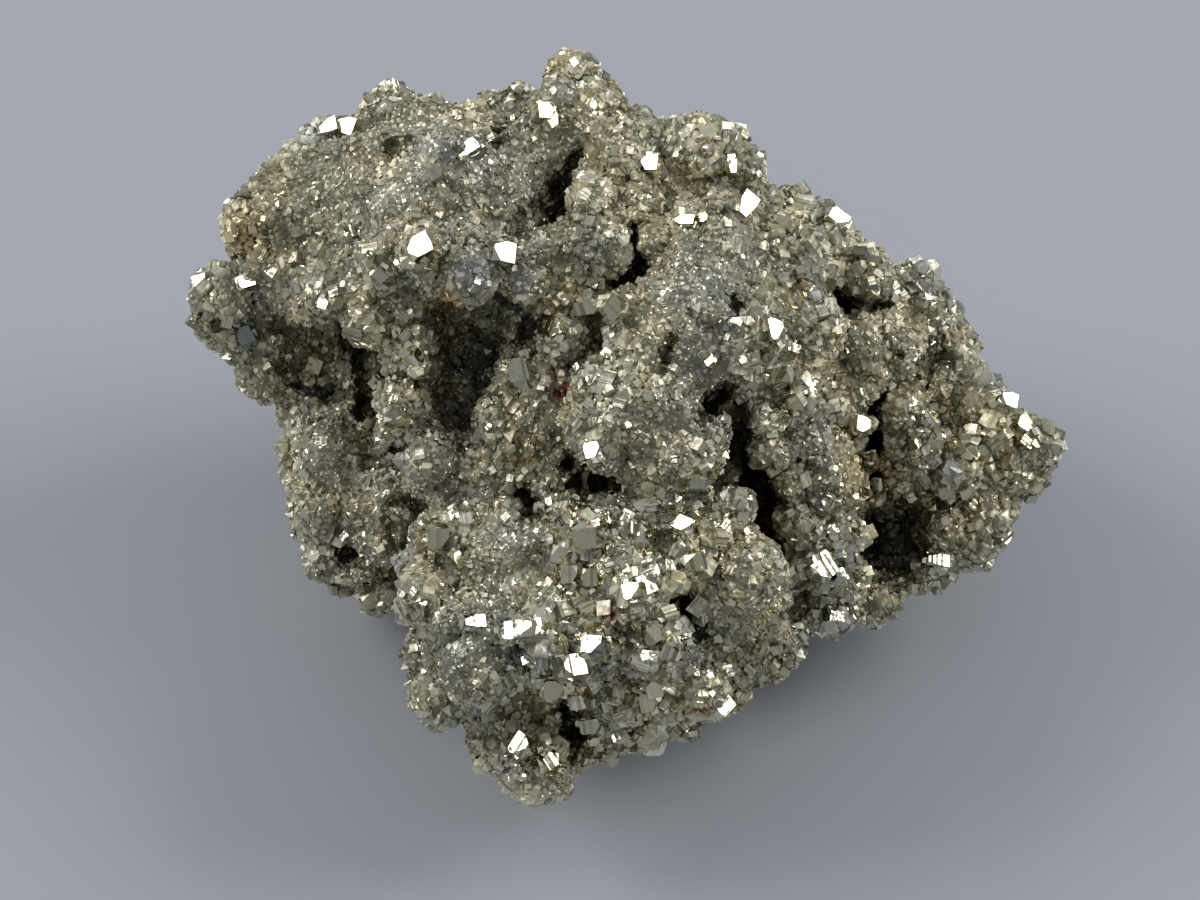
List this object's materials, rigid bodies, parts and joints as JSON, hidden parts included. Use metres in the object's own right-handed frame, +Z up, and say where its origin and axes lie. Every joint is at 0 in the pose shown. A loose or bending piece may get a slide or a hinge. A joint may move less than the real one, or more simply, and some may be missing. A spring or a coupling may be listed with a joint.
{
  "type": "pyrite specimen",
  "caption": "Free-standing mineral specimen: an intergrown mass of rounded lumps and clefts, covered all over in small brassy metallic cube crystals.",
  "frame": {"origin": "on the level of the small flat spot that the specimen rests on, below the middle of the pictured view", "axes": "+Z up from the flat spot, +X along the longest extent, to the viewer's right in the pictured view, -Y toward the viewer"},
  "size_m": [0.0728, 0.0568, 0.0472],
  "materials": {
    "pyrite": "natural metallic crystal faces, pale brassy grey with a little brown tarnish"
  },
  "bodies": {
    "root": {"pyrite_cluster": "pyrite"}
  },
  "joints": []
}
